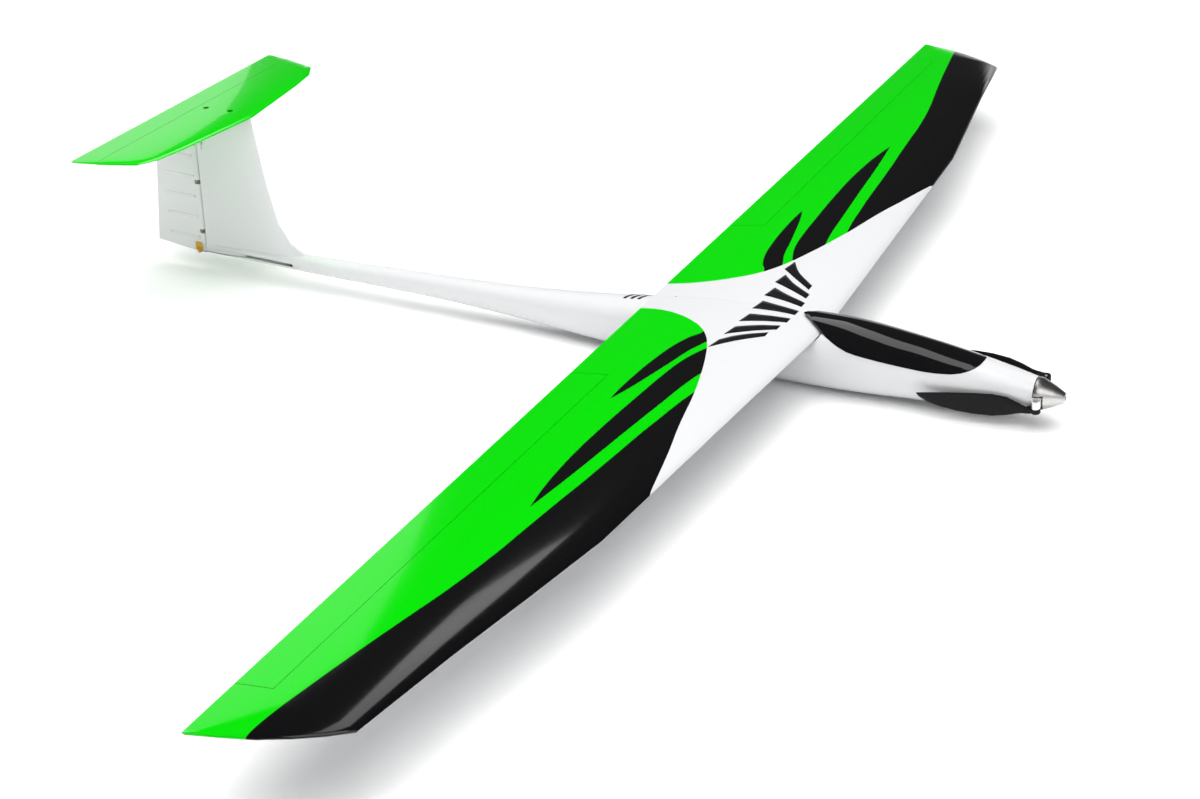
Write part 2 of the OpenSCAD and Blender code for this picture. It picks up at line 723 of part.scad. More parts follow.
module elevator_arm() on_datum() color("ivory") {
  translate(elevator_servo + [0, 0.2, 0]) rotate([-90, 0, 0]) servo_arm(elevator_throw);
  translate(elevator_servo + [elevator_throw, 0.2, 0]) rotate([-90, 0, 0])
    cylinder(r = link_hole + 0.02, h = 9.8);
}

// Rod between two ball links, one turned a quarter turn from the other.
module elevator_pushrod() on_datum() color("silver") difference() {
  union() {
    rod(elevator_servo_pin, elevator_pin + [0, 0, -1], rod_r);
    translate(elevator_servo_pin - [0, 1.2, 0]) rotate([-90, 0, 0]) cylinder(r = 3, h = 2.4);
    translate(elevator_pin - [1.2, 0, 0]) rotate([0, 90, 0]) cylinder(r = 3, h = 2.4);
  }
  translate(elevator_servo_pin - [0, 3, 0]) rotate([-90, 0, 0]) cylinder(r = 1.9, h = 6);
  translate(elevator_pin - [3, 0, 0]) rotate([0, 90, 0]) cylinder(r = 1.9, h = 6);
}

// ---------------- rudder ----------------
rudder_levels = [
  // leading height, trailing height, trailing station, half thickness at the nose
  [rudder_bottom, -7, 1208.5], [-4, 2, 1207.6], [60, 64, 1201.6], [120, 116, 1197], [rudder_top, 157, 1192.3],
];
function rudder_ring(l) =
  let (r = rudder_nose_d / 2, back = l[2] - rudder_axis)
  [
    for (s = [1, 0.75, 0.5, 0.25, 0])
      [0.8 + (r - 0.8) * (1 - s), rudder_axis + back * s, l[0] + (l[1] - l[0]) * s],
    for (a = [22.5:22.5:157.5]) [r * cos(a), rudder_axis - r * sin(a), l[0]],
    for (s = [0, 0.25, 0.5, 0.75, 1])
      [-0.8 - (r - 0.8) * (1 - s), rudder_axis + back * s, l[0] + (l[1] - l[0]) * s],
  ];

module rudder() on_datum() color("white") difference() {
  loft([for (l = rudder_levels) rudder_ring(l)]);
  translate([0, rudder_axis, rudder_bottom - 5]) cylinder(r = hinge_wire_d / 2, h = 220);
  for (z = rudder_lugs) translate([-8, rudder_axis - 8, z - 0.5]) cube([16, 11.5, lug_height + 1]);
}

module rudder_hinges() on_datum() color("saddlebrown")
  for (z = rudder_lugs) difference() {
    union() {
      translate([0, rudder_axis, z]) cylinder(r = 2.2, h = lug_height);
      translate([-0.9, fin_post - 5, z]) cube([1.8, rudder_axis - fin_post + 5, lug_height]);
    }
    translate([0, rudder_axis, z - 1]) cylinder(r = hinge_wire_d / 2 + running, h = lug_height + 2);
  }

module rudder_hinge_wire() on_datum() color("silver")
  translate([0, rudder_axis, rudder_bottom - 0.3])
    cylinder(r = hinge_wire_d / 2, h = rudder_top - rudder_bottom + 0.2);

rudder_pin = [-rudder_throw, rudder_axis, rudder_rod_z - 2.6];
module rudder_horn() on_datum() color("gold") difference() {
  union() {
    hull() {
      translate(rudder_pin) cylinder(r = 2.6, h = 1.5, $fn = 32);
      translate([-5.6, rudder_axis + 2, rudder_pin[2]]) cube([1.8, 10, 1.5]);
    }
    translate([-5.6, rudder_axis + 2, rudder_pin[2] - 1.5]) cube([1.8, 10, 11]);
  }
  translate(rudder_pin - [0, 0, 1]) cylinder(r = link_hole, h = 4);
}

module rudder_servo() on_datum() color("dimgray")
  translate(rudder_servo) rotate([0, 0, -90]) servo(23, 12, 22);

rudder_servo_pin = rudder_servo + [-rudder_throw, 0, 1.6];
module rudder_arm() on_datum() color("ivory")
  translate(rudder_servo + [0, 0, 0.3]) rotate([0, 0, 180]) servo_arm(rudder_throw);

rudder_rod_bends = [
  rudder_servo_pin + [0, 0, 1.6], [-3.2, 700, -2.6],
  [-5.2, 1000, rudder_rod_z], [-rudder_throw, 1092, rudder_rod_z],
  [-rudder_throw, rudder_axis, rudder_rod_z],
];
module rudder_pushrod() on_datum() color("silver") {
  b = rudder_rod_bends;
  for (i = [0:len(b) - 2]) rod(b[i], b[i + 1], rod_r);
  for (p = b) translate(p) sphere(r = rod_r + 0.1, $fn = 24);
  rod(rudder_servo_pin - [0, 0, 2.2], b[0], rod_r);
  rod(rudder_pin - [0, 0, 0.8], b[len(b) - 1], rod_r);
}

// ---------------- equipment in the pod ----------------
module equipment_tray() on_datum() color("burlywood") difference() {
  union() {
    translate([-22, 92, tray_z]) cube([44, 168, tray_t]);
    // supports: station, width, depth
    for (s = [[92, 29, 8], [256, 44, 13]])
      translate([-s[1] / 2, s[0], tray_z - s[2]]) cube([s[1], 3, s[2] + 0.4]);
    // posts under the lugs of the rudder servo
    for (y = [225.8, 253.7]) translate([6, y, tray_z]) cube([13, 3.4, rudder_servo[2] - 8.4 - tray_z]);
  }
  translate([5.9, 229.5, tray_z - 1]) cube([13.2, 24, 5]);
  // slots for the battery strap
  for (x = [-18, 15.6]) translate([x, 131.5, tray_z - 1]) cube([2.4, 17, 5]);
}

module battery() on_datum() color("royalblue") translate([-16, 98, tray_z + tray_t + 0.2]) cube([32, 86, 21]);

module battery_strap() on_datum() color("black") difference() {
  translate([-17.4, 132, tray_z - 1.4]) cube([34.8, 16, tray_t + 24]);
  translate([-16.2, 131, tray_z]) cube([32.4, 18, tray_t + 21.4]);
}

module esc() on_datum() color("darkgreen") translate([-13, 54, -13]) cube([26, 34, 9]);

module receiver() on_datum() color("dimgray") translate([-19, 196, tray_z + tray_t + 0.1]) cube([16, 38, 11]);

// Leads pressed together in a row: three to the motor, two to the battery.
module motor_leads() on_datum() color("black") for (x = [-5, 0, 5]) {
  rod([x, 46.5, -9], [x, 54, -9], 1.5);
}

module battery_leads() on_datum() color("red") for (x = [-4, 4]) {
  rod([x, 88, -8.4], [x, 98, -8.4], 1.7);
}

fuselage_shell();
firewall();
motor_mount();
motor_stator();
motor_bell();
motor_shaft();
motor_screws();
spinner_backplate();
prop_yoke();
blade_pins();
shaft_nut();
spinner_cone();
spinner_screw();
blade_right();
blade_left();
canopy();
canopy_peg();
canopy_magnet();
sill_magnet();
wing_right();
wing_left();
wing_joiner();
wing_seat();
wing_bolts();
aileron_right();
aileron_left();
aileron_horn_right();
aileron_horn_left();
aileron_servo_right();
aileron_servo_left();
servo_cover_right();
servo_cover_left();
aileron_arm_right();
aileron_arm_left();
aileron_pushrod_right();
aileron_pushrod_left();
tailplane();
tailplane_screws();
elevator();
elevator_horn();
elevator_servo();
elevator_arm();
elevator_pushrod();
rudder();
rudder_hinges();
rudder_hinge_wire();
rudder_horn();
rudder_servo();
rudder_arm();
rudder_pushrod();
equipment_tray();
battery();
battery_strap();
esc();
receiver();
motor_leads();
battery_leads();
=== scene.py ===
"""Looks of an electric glider: gel coat pod and boom, film-covered wing and T-tail, folding propeller.

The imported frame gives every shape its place. Each operator dresses one group of pieces.
"""

import json
import math

import bmesh
import bpy
from bpy.props import FloatProperty, FloatVectorProperty, IntProperty, PointerProperty
from bpy.types import Operator, Panel, PropertyGroup
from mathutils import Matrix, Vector
from mathutils.bvhtree import BVHTree


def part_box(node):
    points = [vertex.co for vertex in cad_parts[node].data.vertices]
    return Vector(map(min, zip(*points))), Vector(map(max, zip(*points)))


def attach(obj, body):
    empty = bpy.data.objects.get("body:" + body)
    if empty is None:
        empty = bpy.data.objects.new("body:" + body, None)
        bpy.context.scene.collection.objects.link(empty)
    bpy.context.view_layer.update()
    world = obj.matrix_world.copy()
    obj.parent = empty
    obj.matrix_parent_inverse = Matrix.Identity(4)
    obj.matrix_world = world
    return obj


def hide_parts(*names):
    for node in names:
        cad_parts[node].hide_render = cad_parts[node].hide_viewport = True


bl_info = {
    "name": "Electric glider",
    "version": (1, 0, 0),
    "blender": (4, 5, 0),
    "location": "View3D > Sidebar > Glider",
    "description": "Dresses the packed glider frame with its finishes, markings and small fittings",
    "category": "Object",
}

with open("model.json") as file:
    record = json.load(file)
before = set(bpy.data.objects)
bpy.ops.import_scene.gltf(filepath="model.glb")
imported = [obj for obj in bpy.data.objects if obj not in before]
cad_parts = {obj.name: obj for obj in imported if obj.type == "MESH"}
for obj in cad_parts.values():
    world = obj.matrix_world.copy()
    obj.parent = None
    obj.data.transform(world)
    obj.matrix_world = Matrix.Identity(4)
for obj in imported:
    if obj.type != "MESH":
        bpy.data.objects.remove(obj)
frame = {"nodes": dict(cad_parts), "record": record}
NODES = frame["nodes"]
BODY_OF = {n: b for b, ns in frame["record"]["behaviour"]["bodies"].items() for n in ns}
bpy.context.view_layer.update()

# Y of station 0, from which the markings are laid out: 1 mm ahead of the fuselage's front face.
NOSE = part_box("fuselage_shell")[0].y - 0.001

# Before it is laid on its surface, a marking's outline is drawn at this height, or this far to one side.
ABOVE = 0.3
BESIDE = 0.05

# The camera's turn is in degrees, its sensor and lens in millimetres.
CAMERA_PLACE = (-2.2579, -0.8772, 1.2038)
CAMERA_TURN = (62.931, 1.242, -64.410)
CAMERA_SENSOR = 36.0
CAMERA_LENS = 67.5

FLOOR_REACH = 14.0
SKY_STRENGTH = 0.9
# Width of the sky light in degrees.
SKY_SPREAD = 80.0
# Upward part of the line of sight at which the pale horizon starts to darken and at which it is dark.
HORIZON = (0.10, 0.22)
HORIZON_COLOUR = (0.95, 0.96, 0.97, 1.0)
OVERHEAD_COLOUR = (0.04, 0.04, 0.04, 1.0)

# Place, aim, size and power of each lamp that glossy surfaces reflect.
LAMPS = {
    "strip": ((0.65, 0.4, 3.3), (0.2, 0.2, 0.0), (0.65, 5.0), 24.0),
    "side_panel": ((2.78, 3.89, 2.1), (0.0, 0.78, 0.2), (1.9, 2.2), 9.0),
    "fill": ((-3.4, -2.6, 3.4), (0.0, 0.2, 0.0), (3.5, 3.5), 75.0),
}


# ---------------------------------------------------------------- shader helpers
class Value:
    """A number or colour on a node's output, so that shader maths reads as an expression."""

    def __init__(self, shader, socket):
        self.shader = shader
        self.socket = socket

    def math(self, operation, *others, clamp=False):
        settings = {"operation": operation, "use_clamp": clamp}
        return self.shader.node("ShaderNodeMath", settings, {0: self, **dict(enumerate(others, 1))})

    def __add__(self, other):
        return self.math("ADD", other)

    def __sub__(self, other):
        return self.math("SUBTRACT", other)

    def __mul__(self, other):
        return self.math("MULTIPLY", other)

    def __truediv__(self, other):
        return self.math("DIVIDE", other)

    def __rsub__(self, other):
        return self.math("MULTIPLY", -1.0) + other

    __radd__ = __add__
    __rmul__ = __mul__

    def above(self, other, soft=0.0004):
        """1 where this is greater than other, with an edge of the given width."""
        return ((self - other) / soft).math("ADD", 0.5, clamp=True)

    def below(self, other, soft=0.0004):
        return 1 - self.above(other, soft)

    def either(self, other):
        return self.math("MAXIMUM", other)

    def both(self, other):
        return self.math("MINIMUM", other)

    def size(self):
        return self.math("ABSOLUTE")

    def along(self, points, tall):
        """Smooth curve through points (place, height), no taller than tall and level beyond its ends."""
        low, high = points[0][0], points[-1][0]
        node = self.shader.tree.nodes.new("ShaderNodeFloatCurve")
        curve = node.mapping.curves[0]
        placed = [((p - low) / (high - low), h / tall) for p, h in points]
        for i, (p, h) in enumerate(placed):
            point = curve.points[i] if i < 2 else curve.points.new(p, h)
            point.location = (p, h)
        for point in curve.points:
            point.handle_type = "AUTO"
        node.mapping.use_clip = False
        node.mapping.update()
        node.inputs["Factor"].default_value = 1
        scaled = ((self - low) / (high - low)).math("ADD", 0, clamp=True)
        self.shader.tree.links.new(scaled.socket, node.inputs["Value"])
        return Value(self.shader, node.outputs[0]) * tall


class Shader:
    """One procedural material, with methods that add and join its nodes."""

    def __init__(self, name, **constants):
        self.material = bpy.data.materials.new(name)
        self.material.use_nodes = True
        self.tree = self.material.node_tree
        self.tree.nodes.clear()
        self.output = self.tree.nodes.new("ShaderNodeOutputMaterial")
        self.bsdf = self.tree.nodes.new("ShaderNodeBsdfPrincipled")
        self.tree.links.new(self.bsdf.outputs[0], self.output.inputs[0])
        for socket, value in constants.items():
            self.bsdf.inputs[socket.replace("_", " ")].default_value = value

    def node(self, kind, settings=None, inputs=None, out=0):
        made = self.tree.nodes.new(kind)
        for key, value in (settings or {}).items():
            setattr(made, key, value)
        for key, value in (inputs or {}).items():
            if isinstance(value, Value):
                self.tree.links.new(value.socket, made.inputs[key])
            else:
                made.inputs[key].default_value = value
        return Value(self, made.outputs[out])

    def place(self):
        """Object coordinates as a vector and its three parts."""
        vector = self.node("ShaderNodeTexCoord", out="Object")
        return vector, [self.node("ShaderNodeSeparateXYZ", None, {0: vector}, out=i) for i in range(3)]

    def stretched(self, vector, scale):
        return self.node("ShaderNodeMapping", None, {"Vector": vector, "Scale": scale})

    def noise(self, vector, scale, detail=2.0, rough=0.5):
        inputs = {"Vector": vector, "Scale": scale, "Detail": detail, "Roughness": rough}
        return self.node("ShaderNodeTexNoise", None, inputs)

    def mix(self, factor, a, b):
        """Colour a where factor is 0 and b where it is 1."""
        settings = {"data_type": "RGBA"}
        return self.node("ShaderNodeMix", settings, {0: factor, 6: a, 7: b}, out=2)

    def bump(self, height, strength, distance):
        inputs = {"Height": height, "Strength": strength, "Distance": distance}
        return self.node("ShaderNodeBump", None, inputs)

    def feed(self, **links):
        for socket, value in links.items():
            self.tree.links.new(value.socket, self.bsdf.inputs[socket.replace("_", " ")])
        return self.material


def rgba(colour):
    return (*colour[:3], 1.0)


def shaded(colour, factor):
    return rgba([c * factor for c in colour])


# ---------------------------------------------------------------- finishes
def gel_coat(settings):
    """White gel coat over glass fibre, with a faint orange peel."""
    s = Shader("white_gel_coat", IOR=1.5, Coat_Roughness=0.04)
    vector, _ = s.place()
    broad = s.noise(vector, 6.0, 3.0)
    peel = s.noise(vector, 420.0, 2.0)
    colour = s.mix(broad * 0.25, rgba(settings.white), shaded(settings.white, 0.93))
    rough = broad * 0.1 + 0.16
    return s.feed(Base_Color=colour, Roughness=rough, Coat_Weight=broad * 0.2 + 0.5,
                  Normal=s.bump(peel, 0.08, 0.0002))


# Edge of the wing's white centre: station, then distance from the centre line.
WHITE_EDGE = [
    (0.250, 0.560), (0.274, 0.459), (0.281, 0.420), (0.290, 0.374), (0.301, 0.326),
    (0.3185, 0.240), (0.331, 0.192), (0.344, 0.150), (0.355, 0.121), (0.365, 0.102),
    (0.378, 0.084), (0.3985, 0.066), (0.421, 0.052), (0.447, 0.042), (0.476, 0.038),
    (0.490, 0.037),
]
# Edges of the black fields on each side: distance from the centre line, then station.
LEAD_EDGE = [
    (0.20, 0.312), (0.237, 0.3176), (0.2716, 0.3225), (0.3174, 0.327), (0.358, 0.3308),
    (0.401, 0.3338), (0.443, 0.337), (0.482, 0.340), (0.5185, 0.3435), (0.548, 0.346),
    (0.595, 0.350), (0.6315, 0.353), (0.712, 0.3635), (0.782, 0.3765), (0.85, 0.3886),
    (0.929, 0.4013), (1.0, 0.4125),
]
SHORT_TOP = [
    (0.08, 0.371), (0.0978, 0.3727), (0.1123, 0.3803), (0.1422, 0.3892), (0.1765, 0.394),
    (0.2253, 0.3975), (0.2919, 0.3971), (0.33, 0.392),
]
SHORT_LOW = [
    (0.08, 0.345), (0.1158, 0.3560), (0.1295, 0.3603), (0.146, 0.3656), (0.1882, 0.3735),
    (0.2268, 0.3812), (0.2622, 0.3889), (0.2949, 0.3981), (0.33, 0.409),
]
LONG_TOP = [
    (0.11, 0.343), (0.133, 0.3494), (0.1446, 0.3538), (0.161, 0.359), (0.1796, 0.3632),
    (0.2258, 0.368), (0.273, 0.3708), (0.3188, 0.3732), (0.3655, 0.3749), (0.4108, 0.3757),
    (0.4588, 0.3744), (0.4996, 0.3714), (0.5448, 0.3652), (0.58, 0.359),
]
LONG_LOW = [
    (0.11, 0.318), (0.1908, 0.329), (0.2181, 0.3335), (0.2386, 0.336), (0.2854, 0.3402),
    (0.3265, 0.344), (0.3707, 0.348), (0.4117, 0.3515), (0.4515, 0.355), (0.4923, 0.3590),
    (0.5188, 0.362), (0.5448, 0.3652), (0.58, 0.371),
]
# Heights, in metres, that the curves of the colour fields are scaled to.
WHITE_REACH = 0.6
BLACK_REACH = 0.5


def wing_film(settings):
    """Gloss film on the wing: bright green, black leading zone with two darts, white centre and underside."""
    s = Shader("wing_film", IOR=1.42, Coat_Roughness=0.03)
    vector, (x, y, _) = s.place()
    station = y - NOSE
    half = x.size()
    white = half.below(station.along(WHITE_EDGE, WHITE_REACH))
    black = station.below(half.along(LEAD_EDGE, BLACK_REACH))
    for top, low in ((SHORT_TOP, SHORT_LOW), (LONG_TOP, LONG_LOW)):
        ahead = station.below(half.along(top, BLACK_REACH))
        behind = station.above(half.along(low, BLACK_REACH))
        black = black.either(ahead.both(behind))
    facing = s.node("ShaderNodeTexCoord", out="Normal")
    under = s.node("ShaderNodeSeparateXYZ", None, {0: facing}, out=2).below(-0.5, 0.02)
    ripple = s.noise(vector, 9.0, 2.0)
    fine = s.noise(vector, 160.0, 2.0)
    colour = s.mix(black, rgba(settings.green), rgba(settings.black))
    colour = s.mix(white.either(under), colour, rgba(settings.white))
    normal = s.bump(ripple + fine * 0.02, 0.10, 0.0012)
    return s.feed(Base_Color=colour, Roughness=fine * 0.05 + 0.08, Coat_Weight=ripple * 0.1 + 0.1,
                  Normal=normal)


def plain_film(name, colour):
    """Gloss covering film of one colour, drawn tight over the frame below it."""
    s = Shader(name, IOR=1.5, Coat_Roughness=0.03)
    vector, _ = s.place()
    ripple = s.noise(vector, 12.0, 2.0)
    fine = s.noise(vector, 180.0, 2.0)
    tone = s.mix(ripple * 0.2, rgba(colour), shaded(colour, 0.88))
    normal = s.bump(ripple + fine * 0.02, 0.06, 0.0012)
    return s.feed(Base_Color=tone, Roughness=fine * 0.08 + 0.15, Coat_Weight=ripple * 0.2 + 0.6,
                  Normal=normal)


def vinyl(name, settings):
    """Black self-adhesive marking film, less glossy than the surface below it."""
    s = Shader(name, IOR=1.3)
    vector, _ = s.place()
    fine = s.noise(vector, 240.0, 2.0)
    broad = s.noise(vector, 20.0, 2.0)
    tone = s.mix(broad, rgba(settings.black), shaded(settings.black, 1.5))
    return s.feed(Base_Color=tone, Roughness=fine * 0.1 + 0.3, Normal=s.bump(fine, 0.03, 0.0002))


def gloss_black(settings):
    """Black gel coat of the canopy, polished."""
    s = Shader("gloss_black", IOR=1.5, Coat_Roughness=0.02)
    vector, _ = s.place()
    broad = s.noise(vector, 14.0, 3.0)
    haze = s.noise(vector, 260.0, 3.0)
    colour = s.mix(haze, rgba(settings.black), shaded(settings.black, 1.6))
    return s.feed(Base_Color=colour, Roughness=broad * 0.04 + 0.03, Coat_Weight=broad * 0.1,
                  Normal=s.bump(haze, 0.03, 0.0002))


def carbon_cloth(name, settings, rough):
    """Carbon cloth under resin: a fine twill in two directions."""
    s = Shader(name, IOR=1.22, Coat_Roughness=0.12)
    vector, (_, y, z) = s.place()
    pitch = 2400.0
    warp = (y * pitch + z * pitch).math("SINE") * 0.5 + 0.5
    weft = (y * pitch - z * pitch).math("SINE") * 0.5 + 0.5
    weave = warp * weft
    wear = s.noise(vector, 60.0, 4.0)
    colour = s.mix(weave * 0.7, rgba(settings.black), shaded(settings.black, 2.4))
    return s.feed(Base_Color=colour, Roughness=weave * 0.12 + wear * 0.08 + rough, Coat_Weight=wear * 0.05,
                  Normal=s.bump(weave, 0.12, 0.0001))


def turned_metal(name, colour, rough):
    """Turned metal: fine rings round the shaft's axis."""
    s = Shader(name, Metallic=1.0)
    vector, (_, y, _) = s.place()
    rings = 5200.0
    tool = s.noise(s.stretched(vector, (12.0, 900.0, 12.0)), 3.0, 3.0)
    groove = (y * rings).math("SINE") * 0.5 + 0.5
    smear = s.noise(vector, 35.0, 3.0)
    tone = s.mix(tool, rgba(colour), shaded(colour, 0.82))
    return s.feed(Base_Color=tone, Roughness=tool * 0.14 + smear * 0.06 + rough,
                  Normal=s.bump(groove * 0.3 + tool, 0.05, 0.0001))


def drawn_metal(name, colour, rough=0.28):
    """Drawn or plated metal with light scratches along it."""
    s = Shader(name, Metallic=1.0)
    vector, _ = s.place()
    scratch = s.noise(s.stretched(vector, (700.0, 25.0, 700.0)), 1.0, 3.0)
    stain = s.noise(vector, 50.0, 4.0)
    tone = s.mix(stain * 0.5, rgba(colour), shaded(colour, 0.75))
    return s.feed(Base_Color=tone, Roughness=scratch * 0.16 + rough, Normal=s.bump(scratch, 0.1, 0.0001))


def moulded(name, colour, rough=0.42, speck=0.15):
    """Moulded plastic with a fine spark-eroded grain."""
    s = Shader(name, IOR=1.46)
    vector, _ = s.place()
    grain = s.noise(vector, 1500.0, 2.0)
    flow = s.noise(vector, 45.0, 3.0)
    tone = s.mix(flow * speck * 2.0, rgba(colour), shaded(colour, 0.8))
    return s.feed(Base_Color=tone, Roughness=grain * 0.12 + flow * 0.08 + rough,
                  Normal=s.bump(grain, 0.2, 0.0001))


def plywood(settings):
    """Birch plywood: long grain along the model, with darker pores."""
    s = Shader("birch_plywood", IOR=1.45)
    vector, _ = s.place()
    grain = s.noise(s.stretched(vector, (420.0, 18.0, 260.0)), 1.0, 5.0, 0.6)
    pores = s.noise(s.stretched(vector, (1800.0, 60.0, 1800.0)), 1.0, 2.0)
    tone = s.mix(grain, rgba(settings.wood), shaded(settings.wood, 0.55))
    return s.feed(Base_Color=tone, Roughness=pores * 0.2 + 0.55,
                  Normal=s.bump(grain + pores * 0.4, 0.3, 0.0002))


def woven(name, colour):
    """Woven hook-and-loop webbing."""
    s = Shader(name, IOR=1.45)
    vector, (x, y, z) = s.place()
    pitch = 2600.0
    over = (y * pitch).math("SINE") * ((x + z) * pitch).math("SINE")
    fuzz = s.noise(vector, 900.0, 3.0)
    tone = s.mix(over * 0.5 + 0.5, shaded(colour, 0.6), shaded(colour, 1.8))
    return s.feed(Base_Color=tone, Roughness=fuzz * 0.2 + 0.7, Normal=s.bump(over + fuzz * 0.5, 0.5, 0.0003))


def wound_copper():
    """Lacquered copper wire, wound round each tooth."""
    s = Shader("wound_copper", Metallic=1.0)
    vector, (_, y, _) = s.place()
    turns = (y * 9000.0).math("SINE") * 0.5 + 0.5
    tone = s.mix(turns, (0.28, 0.10, 0.035, 1.0), (0.72, 0.34, 0.14, 1.0))
    rough = s.noise(vector, 300.0, 2.0) * 0.15 + 0.3
    return s.feed(Base_Color=tone, Roughness=rough, Normal=s.bump(turns, 0.5, 0.0003))


# ---------------------------------------------------------------- mesh helpers
def new_object(name, mesh, material, body):
    """Finished piece at the origin, riding on its body."""
    piece = bpy.data.objects.new(name, mesh)
    bpy.context.scene.collection.objects.link(piece)
    mesh.materials.clear()
    mesh.materials.append(material)
    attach(piece, body)
    return piece


def refined(node, material, crease=28.0):
    """Copy of a CAD node with its corners joined and its curved faces shaded smooth."""
    bm = bmesh.new()
    bm.from_mesh(NODES[node].data)
    bmesh.ops.remove_doubles(bm, verts=bm.verts, dist=2e-6)
    bmesh.ops.dissolve_degenerate(bm, edges=bm.edges, dist=1e-7)
    limit = math.radians(crease)
    for face in bm.faces:
        face.smooth = True
    for edge in bm.edges:
        edge.smooth = len(edge.link_faces) == 2 and edge.calc_face_angle(0.0) < limit
    mesh = bpy.data.meshes.new(node + "_skin")
    bm.to_mesh(mesh)
    bm.free()
    for layer in ("custom_normal", "custom_normals"):
        if layer in mesh.attributes:
            mesh.attributes.remove(mesh.attributes[layer])
    piece = new_object(node + "_skin", mesh, material, BODY_OF[node])
    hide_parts(node)
    return piece


def dressed(node, material):
    """Carried-over CAD node with its finish."""
    data = NODES[node].data
    data.materials.clear()
    data.materials.append(material)


def caster(pieces, direction):
    """Function that drops a point along direction onto the pieces and gives the hit and its normal.

    A line of sight that falls in the joint between two pieces is tried again a little to each side.
    """
    verts, faces = [], []
    for piece in pieces:
        first = len(verts)
        verts += [v.co.copy() for v in piece.data.vertices]
        faces += [[first + i for i in p.vertices] for p in piece.data.polygons]
    tree = BVHTree.FromPolygons(verts, faces)
    ahead = Vector(direction)

    def cast(point):
        for aside in (0.0, 0.0004, -0.0004):
            step = Vector((0.0 if ahead.x else aside, 0.0, 0.0))
            hit, normal, _, _ = tree.ray_cast(Vector(point) - ahead + step, ahead)
            if hit is not None:
                return hit - step, normal
        return None

    return cast


def smooth_line(points, count):
    """Catmull-Rom line through points, with count points in all."""
    pts = [Vector(p) for p in points]
    pts = [pts[0] * 2 - pts[1], *pts, pts[-1] * 2 - pts[-2]]
    made = []
    for k in range(count):
        t = k / (count - 1) * (len(pts) - 3)
        i = min(int(t), len(pts) - 4)
        u = t - i
        a, b, c, d = pts[i:i + 4]
        slope = (c - a) * u
        bend = (2 * a - 5 * b + 4 * c - d) * u * u
        sway = (3 * b - a - 3 * c + d) * u ** 3
        made.append(0.5 * (2 * b + slope + bend + sway))
    return made


def marking(name, shapes, cast, lift, material, body, rows=18, across=5):
    """Thin film shapes laid on a surface. A shape is two edge lines that the film spans."""
    bm = bmesh.new()
    for left, right in shapes:
        lines = [smooth_line(left, rows), smooth_line(right, rows)]
        sheets = []
        for height in (lift, -lift):
            grid = []
            for a, b in zip(*lines):
                row = []
                for k in range(across):
                    hit = cast(a.lerp(b, k / (across - 1)))
                    if hit is None:
                        raise RuntimeError(f"{name} misses the surface below it")
                    row.append(bm.verts.new(hit[0] + hit[1] * height))
                grid.append(row)
            sheets.append(grid)
        rim = [(0, k) for k in range(across)] + [(j, across - 1) for j in range(1, rows)]
        rim += [(rows - 1, k) for k in range(across - 2, -1, -1)] + [(j, 0) for j in range(rows - 2, 0, -1)]
        for grid in sheets:
            for j in range(rows - 1):
                for k in range(across - 1):
                    bm.faces.new((grid[j][k], grid[j][k + 1], grid[j + 1][k + 1], grid[j + 1][k]))
        for (j, k), (m, n) in zip(rim, rim[1:] + rim[:1]):
            bm.faces.new((sheets[0][j][k], sheets[0][m][n], sheets[1][m][n], sheets[1][j][k]))
    bmesh.ops.remove_doubles(bm, verts=bm.verts, dist=1e-7)
    bmesh.ops.recalc_face_normals(bm, faces=bm.faces)
    for face in bm.faces:
        face.smooth = True
    mesh = bpy.data.meshes.new(name)
    bm.to_mesh(mesh)
    bm.free()
    return new_object(name, mesh, material, body)


# ---------------------------------------------------------------- geometry nodes for small fittings
def screw_head_mesh(radius, height):
    """Pan head with a six-sided recess, as a template for the screw tree."""
    bm = bmesh.new()
    sides = 24
    # Share of the radius, share of the height, and 1 where the ring has six sides.
    profile = [
        (1.0, 0.0, 0), (1.0, 0.45, 0), (0.9, 0.75, 0), (0.62, 0.95, 0),
        (0.5, 1.0, 1), (0.46, 0.96, 1), (0.44, 0.4, 1),
    ]
    rings = []
    for r, h, six in profile:
        ring = []
        for i in range(sides):
            a = math.tau * i / sides
            flat = math.cos(math.pi / 6) / math.cos((a % (math.pi / 3)) - math.pi / 6) if six else 1.0
            reach = radius * r * flat
            ring.append(bm.verts.new((reach * math.cos(a), reach * math.sin(a), height * h)))
        rings.append(ring)
    for low, high in zip(rings, rings[1:]):
        for i in range(sides):
            j = (i + 1) % sides
            bm.faces.new((low[i], low[j], high[j], high[i]))
    bm.faces.new(list(reversed(rings[0])))
    bm.faces.new(rings[-1])
    mesh = bpy.data.meshes.new("screw_head")
    bm.to_mesh(mesh)
    bm.free()
    return mesh


